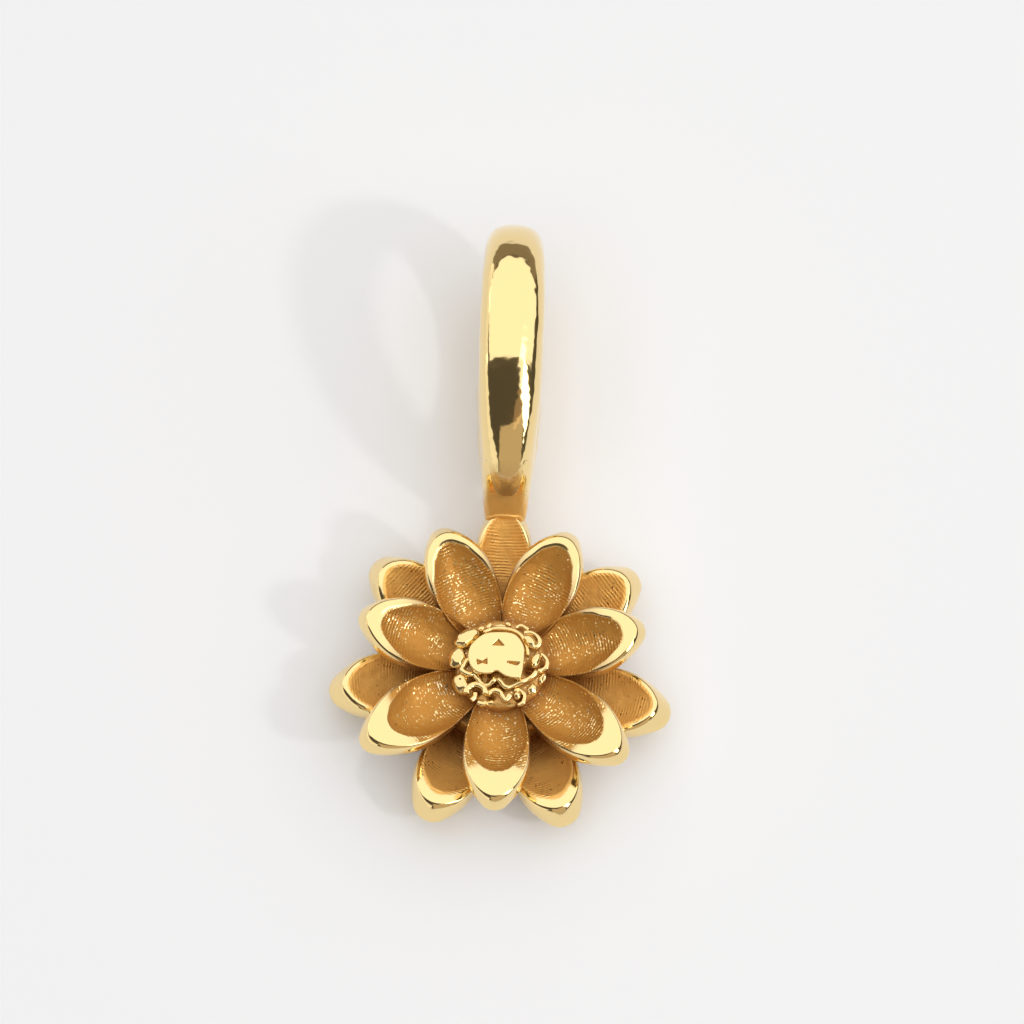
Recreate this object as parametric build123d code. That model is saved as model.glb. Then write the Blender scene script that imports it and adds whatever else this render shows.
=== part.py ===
"""Flower charm with an oval bail, cast as one piece.

Frame: the flower lies on its back, +Z up out of its face, +Y from its centre towards the bail and +X to the
right. The origin is the centre of the flat back, on the surface that the charm rests on. Millimetres.
"""

import os
from collections import namedtuple
from math import cos, hypot, radians, sin, sqrt, tan

from build123d import *

# Core: the flat back under the petals
CORE_RADIUS = 2.0
CORE_HEIGHT = 1.5
CORE_EASE = 0.3

# Petals
ROOT_RADIUS = 0.25
UPPER_REACH = 4.55
UPPER_WIDTH = 2.04
UPPER_RISE = 3.0
LOWER_REACH = 5.2
LOWER_WIDTH = 2.04
LOWER_RISE = 0.0
LOWER_WIDEST_SHARE = 0.62
ROW_STEP = 1.0
UNDERSIDE_CLEARANCE = 0.04
LIP = 0.12
HOLLOW_BACKSET = 0.5

# Seed head
DRUM_FOOT = 0.3
DRUM_RADIUS = 1.38
DRUM_TOP = 2.25
DRUM_EASE = 0.15
CAP_RADIUS = 0.86
CAP_FOOT = 1.1
CAP_TOP = 2.8
CAP_CROWN = 0.14
CAP_EASE = 0.12
GRANULE_RADIUS = 0.26
GRANULES_PER_ROW = 13
PITS = 3
PIT_CIRCLE = 0.48
PIT_RADIUS = 0.12
PIT_DEPTH = 0.06

# Bail and the neck that carries it
NECK_BITE = 0.68
NECK_LENGTH = 1.2
NECK_WIDTH = 1.36
NECK_DEPTH = 1.5
BAIL_HEIGHT = 6.87
BAIL_DEPTH = 4.1
BAIL_WIDTH = 1.9
BAIL_JOINT_WIDTH = 1.4
BAIL_THICKNESS = 1.3
BAIL_JOINT_THICKNESS = 1.7
BAIL_FULLNESS = 0.1
BAIL_DROOP = 0.6
BAIL_STATIONS = 12
BAIL_TURN_STEP = 0.5

# Each petal's bearing, clockwise from +Y, its reach and width as shares of its row's, the wall that its hollow leaves
# at the tip as a share of its width, and how blunt the hollow's end is, as a share of its half width
Petal = namedtuple("Petal", "bearing reach_share wall bluntness width_share", defaults=(1.0,))
UPPER_PETALS = (
    Petal(bearing=26.2, reach_share=1.0, wall=0.29, bluntness=0.35),
    Petal(bearing=74.0, reach_share=0.98, wall=0.35, bluntness=0.3),
    Petal(bearing=126.5, reach_share=1.05, wall=0.48, bluntness=0.6),
    Petal(bearing=180.4, reach_share=1.0, wall=0.56, bluntness=0.85),
    Petal(bearing=236.0, reach_share=1.07, wall=0.48, bluntness=0.6),
    Petal(bearing=287.5, reach_share=0.98, wall=0.35, bluntness=0.5),
    Petal(bearing=333.8, reach_share=1.0, wall=0.29, bluntness=0.35),
)
LOWER_PETALS = (
    Petal(bearing=0.0, reach_share=1.03, wall=0.31, bluntness=0.4, width_share=0.86),
    Petal(bearing=51.0, reach_share=0.99, wall=0.31, bluntness=0.4),
    Petal(bearing=102.5, reach_share=1.01, wall=0.31, bluntness=0.35),
    Petal(bearing=154.5, reach_share=0.98, wall=0.45, bluntness=0.35),
    Petal(bearing=204.5, reach_share=0.97, wall=0.45, bluntness=0.4),
    Petal(bearing=261.5, reach_share=0.985, wall=0.31, bluntness=0.35),
    Petal(bearing=310.5, reach_share=0.98, wall=0.31, bluntness=0.4),
)

# A row of petals. The widest place and the hollow's setback behind it are shares of the reach. The nose's radius,
# the rim's height at the widest place and the height of the hollow's axis over the rim are shares of the half
# width. The rim climbs outwards at an angle of its own, over the slope of the body's axis.
PetalRow = namedtuple(
    "PetalRow",
    "petals reach width rise root_height widest nose rim rim_rise hollow_lift hollow_setback",
)
LOWER = PetalRow(
    petals=LOWER_PETALS,
    reach=LOWER_REACH,
    width=LOWER_WIDTH,
    rise=LOWER_RISE,
    root_height=LOWER_WIDTH / 2 + UNDERSIDE_CLEARANCE - LOWER_WIDEST_SHARE * LOWER_REACH * sin(radians(LOWER_RISE)),
    widest=LOWER_WIDEST_SHARE,
    nose=0.62,
    rim=0.3,
    rim_rise=15.0,
    hollow_lift=0.3,
    hollow_setback=0.1,
)
UPPER = PetalRow(
    petals=UPPER_PETALS,
    reach=UPPER_REACH,
    width=UPPER_WIDTH,
    rise=UPPER_RISE,
    root_height=LOWER.root_height + ROW_STEP,
    widest=0.57,
    nose=0.5,
    rim=0.3,
    rim_rise=7.0,
    hollow_lift=0.3,
    hollow_setback=0.12,
)

# The neck's sections from the petal to the middle of the bail's bottom. Along is a share of the neck's length, climb
# one of the height from the petal's axis to the bail's bottom, width and depth ones of the neck's at the petal.
NeckStation = namedtuple("NeckStation", "along climb width depth")
NECK_STATIONS = (
    NeckStation(along=0.0, climb=0.01, width=1.0, depth=1.0),
    NeckStation(along=0.5, climb=0.83, width=1.01, depth=1.4),
    NeckStation(along=1.0, climb=1.35, width=1.02, depth=1.57),
)

# Staggered rows of granules round the cap. The circle is a share of the drum's radius, the height one of the step
# from the drum's top to the cap's, the size one of the granule radius and the stagger one of the spacing.
GranuleRow = namedtuple("GranuleRow", "circle height size stagger")
GRANULE_ROWS = (
    GranuleRow(circle=0.86, height=-0.2, size=1.0, stagger=0.0),
    GranuleRow(circle=0.7, height=0.4, size=0.85, stagger=0.5),
)


def arc_above(start, end, centre, radius):
    """Arc of a circle between two points, over the top of it."""
    middle = (start[0] + end[0]) / 2
    height = centre[1] + sqrt(radius**2 - (middle - centre[0]) ** 2)
    return Edge.make_three_point_arc(start, (middle, height), end)


def spindle(length, widest, half_width, nose):
    """Body of revolution about +X, pointed at the root and round at the tip, from three tangent arcs."""
    root_arc = (widest**2 + half_width**2) / (2 * half_width)
    run = length - nose - widest
    tip_arc = (run**2 + half_width**2 - nose**2) / (2 * (half_width - nose))
    drop = tip_arc - half_width
    stretch = tip_arc / hypot(run, drop)
    peak = (widest, half_width)
    shoulder = (widest + run * stretch, drop * (stretch - 1))
    outline = Wire([
        arc_above((0, 0), peak, (widest, half_width - root_arc), root_arc),
        arc_above(peak, shoulder, (widest, -drop), tip_arc),
        arc_above(shoulder, (length, 0), (length - nose, 0), nose),
        Edge.make_line((length, 0), (0, 0)),
    ])
    return revolve(Face(outline), Axis.X)


def petal_size(row, petal):
    """A petal's reach and half width."""
    return row.reach * petal.reach_share, row.width * petal.width_share / 2


def axis_length(row, petal):
    """Length of a petal along its slope, from its reach in plan."""
    reach, half_width = petal_size(row, petal)
    nose = row.nose * half_width
    return (reach - ROOT_RADIUS - nose) / cos(radians(row.rise)) + nose


def rim_frame(row, petal):
    """Frame on the rim's plane at a petal's widest place, with +X up its slope."""
    reach, half_width = petal_size(row, petal)
    return Pos(row.widest * reach, 0, row.rim * half_width) * Rot(0, -row.rim_rise, 0)


def petal_body(row, petal):
    """Outside of one petal, lying along +X, cut off at its rim."""
    reach, half_width = petal_size(row, petal)
    length = axis_length(row, petal)
    above = Box(4 * length, 2 * length, 2 * length, align=(Align.CENTER, Align.CENTER, Align.MIN))
    body = spindle(length, row.widest * reach, half_width, row.nose * half_width)
    return body - rim_frame(row, petal) * above


def petal_hollow(row, petal):
    """What is scooped out of one petal: a spindle whose axis runs over the rim and parallel to it."""
    reach, half_width = petal_size(row, petal)
    lift = row.hollow_lift * half_width
    rim_half = half_width * sqrt(1 - row.rim**2) - LIP
    slope = cos(radians(row.rim_rise))
    root = row.widest * reach / slope + HOLLOW_BACKSET
    tip = (axis_length(row, petal) - row.widest * reach - petal.wall * 2 * half_width) / slope
    end = petal.bluntness * rim_half
    nose = hypot(end, lift)
    scoop = spindle(root + tip - end + nose, root - row.hollow_setback * reach, hypot(rim_half, lift), nose)
    return rim_frame(row, petal) * Pos(-root, 0, lift) * scoop


def place_petals(make, row):
    """One shape for each petal of a row, raised and turned to its bearing."""
    raised = Pos(ROOT_RADIUS, 0, row.root_height) * Rot(0, -row.rise, 0)
    return [Rot(0, 0, 90 - petal.bearing) * raised * make(row, petal) for petal in row.petals]


def petal_row(row, core):
    """One row of petals joined round a core, with their hollows cut in both."""
    return core + place_petals(petal_body, row) - place_petals(petal_hollow, row)


def core_disc():
    """Flat back that the flower lies on."""
    disc = extrude(Circle(CORE_RADIUS), CORE_HEIGHT)
    return fillet(disc.edges().group_by(Axis.Z)[0], CORE_EASE)


def drum():
    """Wall of the seed head, down through the petals into the core."""
    barrel = Pos(0, 0, DRUM_FOOT) * extrude(Circle(DRUM_RADIUS), DRUM_TOP - DRUM_FOOT)
    return fillet(barrel.edges().group_by(Axis.Z)[-1], DRUM_EASE)


def sphere_radius(rim_radius, height):
    """Radius of the sphere that a dome is cut from."""
    return (rim_radius**2 + height**2) / (2 * height)


def cap():
    """Domed top of the seed head, with its small pits."""
    crown_radius = sphere_radius(CAP_RADIUS, CAP_CROWN)
    column = Pos(0, 0, CAP_FOOT) * extrude(Circle(CAP_RADIUS), CAP_TOP - CAP_FOOT)
    domed = column & Pos(0, 0, CAP_TOP - crown_radius) * Sphere(crown_radius)
    dome = domed.faces().filter_by(GeomType.SPHERE)[0]
    eased = fillet(dome.edges().filter_by(GeomType.CIRCLE).sort_by(Axis.Z)[0], CAP_EASE)
    pit = sphere_radius(PIT_RADIUS, PIT_DEPTH)
    surface = CAP_TOP - crown_radius + sqrt(crown_radius**2 - PIT_CIRCLE**2)
    for i in range(PITS):
        turn = Rot(0, 0, 90 + 360 / PITS * i)
        eased -= turn * Pos(PIT_CIRCLE, 0, surface - PIT_DEPTH + pit) * Sphere(pit)
    return eased


def granules():
    """Rows of beads round the cap."""
    step = 360 / GRANULES_PER_ROW
    beads = []
    for row in GRANULE_ROWS:
        height = DRUM_TOP + row.height * (CAP_TOP - DRUM_TOP)
        bead = Pos(row.circle * DRUM_RADIUS, 0, height) * Sphere(row.size * GRANULE_RADIUS)
        beads += [Rot(0, 0, step * (i + row.stagger)) * bead for i in range(GRANULES_PER_ROW)]
    return beads


def neck_start():
    """Where the neck's flat end stands on the top lower petal."""
    return LOWER_REACH * LOWER_PETALS[0].reach_share - NECK_BITE


def neck():
    """Short neck that climbs from the top lower petal into the bail's front limb."""
    petal_height = LOWER.root_height + neck_start() * tan(radians(LOWER_RISE))
    climb = bail_egg(0)[1] - bail_floor() - petal_height
    sections = []
    for station in NECK_STATIONS:
        middle = (0, neck_start() + station.along * NECK_LENGTH, petal_height + station.climb * climb)
        plane = Plane(origin=middle, x_dir=(1, 0, 0), z_dir=(0, 1, 0))
        sections.append(plane * Ellipse(station.width * NECK_WIDTH / 2, station.depth * NECK_DEPTH / 2))
    return loft(sections)


def bail_thickness(turn):
    """Thickness of the bail in the plane of its opening, greatest where it meets the neck."""
    near_joint = max(cos(radians(turn)), 0)
    return BAIL_THICKNESS + (BAIL_JOINT_THICKNESS - BAIL_THICKNESS) * near_joint**2


def bail_egg(turn):
    """Centreline of the bail: (y, z) at a turn in degrees from its bottom, first up the front limb."""
    climb = -cos(radians(turn))
    y = neck_start() + NECK_LENGTH + BAIL_HEIGHT * (1 + climb) / 2
    z = BAIL_DEPTH / 2 * sin(radians(turn)) * (1 + BAIL_FULLNESS * climb)
    return y, z - BAIL_DROOP * ((1 - climb) / 2) ** 2


def bail_floor():
    """Lowest level of the bail's back, measured like the centreline."""
    return min(bail_egg(turn)[1] - bail_thickness(turn) / 2 for turn in range(180, 360))


def bail_section(turn):
    """Oval section of the bail, square to its centreline and narrower near the neck."""
    y, z = bail_egg(turn)
    ahead = bail_egg(turn + BAIL_TURN_STEP)
    behind = bail_egg(turn - BAIL_TURN_STEP)
    width = BAIL_JOINT_WIDTH + (BAIL_WIDTH - BAIL_JOINT_WIDTH) * sqrt(1 - max(cos(radians(turn)), 0) ** 2)
    along = Vector(0, ahead[0] - behind[0], ahead[1] - behind[1])
    plane = Plane(origin=(0, y, z - bail_floor()), x_dir=(1, 0, 0), z_dir=along)
    return plane * Ellipse(width / 2, bail_thickness(turn) / 2)


def bail():
    """The oval bail: two lofted limbs that share their end faces."""
    step = 180 / BAIL_STATIONS
    limbs = []
    for start in (0, 180):
        limbs.append(loft([bail_section(start + step * i) for i in range(BAIL_STATIONS + 1)]))
    return limbs


def flower_pendant():
    """The whole casting."""
    casting = petal_row(LOWER, core_disc())
    for form in (petal_row(UPPER, Part()), drum(), cap(), neck(), bail(), granules()):
        casting = casting + form
    return casting


os.makedirs("parts", exist_ok=True)
export_step(flower_pendant(), "parts/flower_pendant.step")
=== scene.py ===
"""Flower charm with an oval bail, dressed for display: petals, seed head, bail and a plain studio stage.

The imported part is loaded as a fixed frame, and every form of the casting is modelled in its place. The flower
lies on its back, +Z up out of its face and +Y from its centre towards the bail. Lengths are in metres.
"""

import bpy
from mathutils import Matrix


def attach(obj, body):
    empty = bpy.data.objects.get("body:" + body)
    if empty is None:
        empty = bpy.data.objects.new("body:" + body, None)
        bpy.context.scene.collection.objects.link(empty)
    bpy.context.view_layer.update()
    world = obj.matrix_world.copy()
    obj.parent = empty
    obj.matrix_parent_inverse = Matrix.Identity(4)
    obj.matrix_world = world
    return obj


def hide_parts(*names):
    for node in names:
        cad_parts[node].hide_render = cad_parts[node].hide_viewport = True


bl_info = {
    "name": "Flower charm",
    "version": (1, 0, 0),
    "blender": (4, 5, 0),
    "location": "View3D > Sidebar > Flower charm",
    "description": "Models a small gold flower charm with its bail, and a plain studio stage for it",
    "category": "Add Mesh",
}

from collections import namedtuple
from math import atan2, cos, exp, hypot, pi, radians, sin, sqrt, tan

import bmesh
import bpy
from mathutils import Matrix, Vector, noise

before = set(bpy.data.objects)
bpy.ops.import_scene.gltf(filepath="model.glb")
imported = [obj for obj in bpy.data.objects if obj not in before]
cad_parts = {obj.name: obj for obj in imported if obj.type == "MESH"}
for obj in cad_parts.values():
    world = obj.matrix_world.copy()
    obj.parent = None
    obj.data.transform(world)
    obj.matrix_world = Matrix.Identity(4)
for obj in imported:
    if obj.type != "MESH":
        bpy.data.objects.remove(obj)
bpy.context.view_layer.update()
NODE = "flower_pendant"
BODY = "root"
MM = 0.001

# Each petal's bearing, clockwise from +Y in degrees, its reach and width as shares of its row's, the wall
# that its hollow leaves at the tip as a share of its width, how blunt the hollow's end is, as a share of its
# half width, and how much of the rim's width is as matt as the hollow. The rim is matt near the root and
# polished from the share polished_from of the hollow's length, with POLISH_RUN before it for the change.
Petal = namedtuple(
    "Petal", "bearing reach_share wall bluntness width_share matt polished_from", defaults=(1.0, 0.0, 0.6)
)
UPPER_PETALS = (
    Petal(bearing=26.2, reach_share=1.0, wall=0.29, bluntness=0.35, polished_from=0.68),
    Petal(bearing=74.0, reach_share=0.98, wall=0.35, bluntness=0.3, polished_from=0.72),
    Petal(bearing=126.5, reach_share=1.05, wall=0.48, bluntness=0.6, polished_from=0.88),
    Petal(bearing=180.4, reach_share=1.0, wall=0.56, bluntness=0.85, polished_from=0.93),
    Petal(bearing=236.0, reach_share=1.07, wall=0.48, bluntness=0.6, polished_from=0.87),
    Petal(bearing=287.5, reach_share=0.98, wall=0.35, bluntness=0.5, polished_from=0.76),
    Petal(bearing=333.8, reach_share=1.0, wall=0.29, bluntness=0.35, polished_from=0.68),
)
LOWER_PETALS = (
    Petal(bearing=0.0, reach_share=1.03, wall=0.31, bluntness=0.4, width_share=0.86, matt=0.6),
    Petal(bearing=51.0, reach_share=0.99, wall=0.31, bluntness=0.4, matt=0.7),
    Petal(bearing=102.5, reach_share=1.01, wall=0.31, bluntness=0.35, matt=0.7),
    Petal(bearing=154.5, reach_share=0.98, wall=0.45, bluntness=0.35, matt=0.35),
    Petal(bearing=204.5, reach_share=0.97, wall=0.45, bluntness=0.4, matt=0.35),
    Petal(bearing=261.5, reach_share=0.985, wall=0.31, bluntness=0.35, matt=0.55),
    Petal(bearing=310.5, reach_share=0.98, wall=0.31, bluntness=0.4, matt=0.7),
)

# A body of revolution about +X: pointed at its root, round at its tip, from arcs that run into each other
Spindle = namedtuple("Spindle", "length widest half_width nose")

# How many rings of faces each part of a petal's skin has, and how many faces go round it
Rings = namedtuple("Rings", "around keel wall rim_edge facet hollow_edge hollow")
PETAL_RINGS = Rings(around=144, keel=8, wall=9, rim_edge=5, facet=6, hollow_edge=4, hollow=28)
WALL_SLOPE = radians(56.0)
# The lowest that a wall's bend lies, as a share of the rim's height, the most of the wall that the rim's
# rounding takes, and how finely the bend is drawn before its rings are picked
LOWEST_BEND = 0.15
ROUNDED_WALL = 0.45
WALL_POINTS = 40
# How far a hollow's outline strays from its true shape, in how many waves a millimetre, and the most that
# this may add to a rim's width or take from it, as shares of it
HOLLOW_UNEVENNESS = 0.09 * MM
UNEVEN_WAVES = 2.2
RIM_ADDED, RIM_TAKEN = 0.2, 0.35
# The most of a rim's width that the rounding of its outer edge and of its inner edge may take
OUTER_EDGE, INNER_EDGE = 0.42, 0.4
# From which share of matt width on a rim's inner edge is matt too
MATT_EDGE = 0.3
# How much closer together the hollow's rings lie near its edge
HOLLOW_SPREAD = 1.2
POLISH_RUN = 0.12
# How far the middle of a rim stands up over its edges, as a share of its width
RIM_CROWN = 0.03
# Where along the hull the root's matt skin and the shade painted on the hull's sides begin to fade, as a share
# of the way to the widest place, and over how much of it each fades
ROOT_END = 0.84
ROOT_RUN = 0.2
ROOT_SHADE_RUN = 0.4
ROOT_MATT = 0.85
# Painted shade: how dark it is painted on a hull's side at its root, and over what share of its reach in the
# hollow it fades, as shares
UNDER_SHADE = 0.95
PAINTED_SHADE_RUN = 0.35
# Swells and grain: waves a millimetre of each noise, the finer grain's share, the swell's share on polished
# metal and what a hollow adds to it, and how far one petal's noise lies from the next one's
SWELL_WAVES = 1.6
GRAIN_WAVES, FINE_GRAIN_WAVES = 5.0, 11.0
FINE_GRAIN = 0.6
POLISHED_SWELL, HOLLOW_SWELL = 0.3, 0.3
NOISE_STEP = (3.1, 7.7)
# Points closer than this are one
SAME_PLACE = 1e-8
# An outline's turn with a smaller sine than this is at one of its ends
AT_END = 1e-9
# How often the hollow's floor is worked out again from its own height
FLOOR_TURNS = 12


def spindle_radius(form, x):
    """Radius of a spindle at a place on its axis, or a negative number beyond its ends."""
    if x <= 0 or x >= form.length:
        return -1.0
    if x <= form.widest:
        root_arc = (form.widest**2 + form.half_width**2) / (2 * form.half_width)
        return form.half_width - root_arc + sqrt(root_arc**2 - (form.widest - x) ** 2)
    run = form.length - form.nose - form.widest
    tip_arc = (run**2 + form.half_width**2 - form.nose**2) / (2 * (form.half_width - form.nose))
    drop = tip_arc - form.half_width
    shoulder = form.widest + run * tip_arc / hypot(run, drop)
    if x <= shoulder:
        return sqrt(tip_arc**2 - (x - form.widest) ** 2) - drop
    return sqrt(form.nose**2 - (x - form.length + form.nose) ** 2)


def last_true(test, low, high, turns=32):
    """The furthest place from low towards high where a test still holds."""
    for _ in range(turns):
        middle = (low + high) / 2
        if test(middle):
            low = middle
        else:
            high = middle
    return low


class PetalForm:
    """One petal lying along +X: a spindle hull, cut off at a rim that climbs outwards, and scooped hollow."""

    def __init__(self, row, petal):
        reach = row.reach * petal.reach_share
        half = row.width * petal.width_share / 2
        nose = row.nose * half
        length = (reach - row.root_radius - nose) / cos(row.rise) + nose
        self.hull = Spindle(length, row.widest * reach, half, nose)
        self.rim_level = row.rim * half
        self.rim_rise = row.rim_rise
        self.lift = row.hollow_lift * half
        self.thinnest_lip = row.thinnest_lip
        rim_half = half * sqrt(1 - row.rim**2) - row.lip
        slope = cos(row.rim_rise)
        self.root = self.hull.widest / slope + row.backset
        tip = (length - self.hull.widest - petal.wall * 2 * half) / slope
        end = petal.bluntness * rim_half
        nose = hypot(end, self.lift)
        widest = self.root - row.hollow_setback * reach
        self.hollow = Spindle(self.root + tip - end + nose, widest, hypot(rim_half, self.lift), nose)
        self.rim_ends = self.ends(self.hull_half_width)
        low, high = self.ends(self.hollow_half_width)
        self.hollow_ends = (max(low, self.rim_ends[0] + row.lip), high)

    def rim_height(self, x):
        """Height of the rim's plane."""
        return self.rim_level + tan(self.rim_rise) * (x - self.hull.widest)

    def in_hollow(self, x, z):
        """A point of the petal's middle plane, in the hollow's own frame."""
        c, s = cos(self.rim_rise), sin(self.rim_rise)
        out, up = x - self.hull.widest, z - self.rim_level
        return out * c + up * s + self.root, up * c - out * s - self.lift

    def hull_half_width(self, x):
        """Half the petal's width at the rim, or a negative number beyond it."""
        radius = spindle_radius(self.hull, x)
        z = self.rim_height(x)
        return sqrt(radius**2 - z**2) if radius > abs(z) else -1.0

    def hollow_half_width(self, x):
        """Half the hollow's width at the rim's plane, or a negative number beyond it."""
        along, above = self.in_hollow(x, self.rim_height(x))
        radius = spindle_radius(self.hollow, along)
        return sqrt(radius**2 - above**2) if radius > abs(above) else -1.0

    def ends(self, half_width):
        """Where an outline on the rim's plane begins and ends along the petal."""
        middle = self.hull.widest
        first = last_true(lambda x: half_width(x) > 0, middle, 0.0)
        last = last_true(lambda x: half_width(x) > 0, middle, self.hull.length)
        return first, last

    def rim_point(self, turn):
        """A point of the rim's outline, from the root at 0 to the tip at pi."""
        first, last = self.rim_ends
        x = first + (last - first) * (1 - cos(turn)) / 2
        y = max(self.hull_half_width(x), 0.0)
        return Vector((x, y if sin(turn) > AT_END else 0.0, self.rim_height(x)))

    def hollow_point(self, turn):
        """A point of the hollow's outline, from the root at 0 to the tip at pi."""
        first, last = self.hollow_ends
        x = first + (last - first) * (1 - cos(turn)) / 2
        wide = max(self.hull_half_width(x) - self.thinnest_lip, 0.0)
        y = min(max(self.hollow_half_width(x), 0.0), wide)
        return Vector((x, y if sin(turn) > AT_END else 0.0, self.rim_height(x)))

    def hull_point(self, bearing, elevation):
        """Where a ray from the middle of the hull's widest place leaves it."""
        ray = Vector((cos(bearing) * cos(elevation), sin(bearing) * cos(elevation), sin(elevation)))
        start = Vector((self.hull.widest, 0.0, 0.0))

        def inside(reach):
            point = start + ray * reach
            return hypot(point.y, point.z) < spindle_radius(self.hull, point.x)

        return start + ray * last_true(inside, 0.0, self.hull.length)

    def floor_height(self, x, y):
        """Height of the hollow's floor."""
        rim = self.rim_height(x)
        z = rim
        c, s = cos(self.rim_rise), sin(self.rim_rise)
        for _ in range(FLOOR_TURNS):
            along, _above = self.in_hollow(x, z)
            radius = max(spindle_radius(self.hollow, along), 0.0)
            below = sqrt(max(radius**2 - y**2, 0.0))
            z = self.rim_level + (self.lift - below + (x - self.hull.widest) * s) / c
        return min(z, rim)


def ramp(distance, run):
    """How far along a run a distance reaches, from 0 to 1."""
    return min(max(distance / run, 0.0), 1.0)


def eased(start, corner, end, count):
    """Points of a smooth bend from start to end that leans into the corner, without the first."""
    points = []
    for i in range(1, count + 1):
        t = i / count
        points.append(start * (1 - t) ** 2 + corner * (2 * t * (1 - t)) + end * t**2)
    return points


def petal_strip(form, turn, edge, hollow_edge, petal):
    """One strip of a petal's skin as (point, satin), from the keel over the rim and down into the hollow."""
    rim = form.rim_point(turn)
    lip = form.hollow_point(turn)
    away = rim - Vector((form.hull.widest, 0.0, 0.0))
    bearing = atan2(away.y, away.x)
    across = lip - rim
    shift = Vector((form.hull.length / MM, 0.0, 0.0))
    uneven = noise.noise(lip / MM * UNEVEN_WAVES + shift) * HOLLOW_UNEVENNESS
    lip += across.normalized() * max(min(uneven, RIM_ADDED * across.length), -RIM_TAKEN * across.length)
    across = lip - rim
    edge = min(edge, OUTER_EDGE * across.length)
    hollow_edge = min(hollow_edge, INNER_EDGE * across.length)
    strip = []
    for i in range(PETAL_RINGS.keel + 1):
        strip.append((form.hull_point(bearing, -pi / 2 * (1 - i / PETAL_RINGS.keel)), 0.0))
    belly = strip[-1][0]
    run = hypot(rim.x - belly.x, rim.y - belly.y)
    corner = Vector((belly.x, belly.y, max(rim.z - run * tan(WALL_SLOPE), LOWEST_BEND * rim.z)))
    leave = min(edge / (rim - corner).length, ROUNDED_WALL)
    wall = eased(belly, corner, rim, WALL_POINTS)
    rings = PETAL_RINGS.wall
    wall = [wall[round((1 - leave) * i / rings * (WALL_POINTS - 1))] for i in range(1, rings + 1)]
    strip += [(p, 0.0) for p in wall]
    on_facet = rim + across.normalized() * edge
    strip += [(p, 0.0) for p in eased(wall[-1], rim, on_facet, PETAL_RINGS.rim_edge)]
    facet_end = lip - across.normalized() * hollow_edge
    first, last = form.hollow_ends
    matt = max(petal.matt, ramp(petal.polished_from - (lip.x - first) / (last - first), POLISH_RUN))
    for i in range(1, PETAL_RINGS.facet + 1):
        share = i / PETAL_RINGS.facet
        p = on_facet.lerp(facet_end, share)
        p.z += 4 * share * (1 - share) * RIM_CROWN * across.length
        strip.append((p, ramp((share - 1 + matt) * PETAL_RINGS.facet, 1.0)))
    middle = Vector(((first + last) / 2, 0.0, 0.0))
    flat_lip = Vector((lip.x, lip.y, 0.0))
    inwards = (middle - flat_lip).normalized() * hollow_edge
    start = flat_lip + inwards
    floor = Vector((start.x, start.y, form.floor_height(start.x, start.y)))
    for i, p in enumerate(eased(facet_end, lip, floor, PETAL_RINGS.hollow_edge)):
        strip.append((p, 1.0 if matt > MATT_EDGE else (i + 1) / PETAL_RINGS.hollow_edge))
    for i in range(1, PETAL_RINGS.hollow + 1):
        p = start.lerp(middle, (i / PETAL_RINGS.hollow) ** HOLLOW_SPREAD)
        strip.append((Vector((p.x, p.y, form.floor_height(p.x, p.y))), 1.0))
    return strip


def closed_skin(bm, strips):
    """Lays a grid over strips that go round a form, and closes its seam and its two poles."""
    bm.verts.layers.float.new("satin")
    # The second layer holds the share of painted shade, which add_petal fills in
    bm.verts.layers.float.new("recess")
    satin = bm.verts.layers.float["satin"]
    around, along = len(strips), len(strips[0]) - 1
    half = 1.0
    bmesh.ops.create_grid(bm, x_segments=around, y_segments=along, size=half)
    for vert in bm.verts:
        column = round((vert.co.x + half) / (2 * half) * around) % around
        place = round((vert.co.y + half) / (2 * half) * along)
        point, value = strips[column][place]
        vert.co = point
        vert[satin] = value


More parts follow.
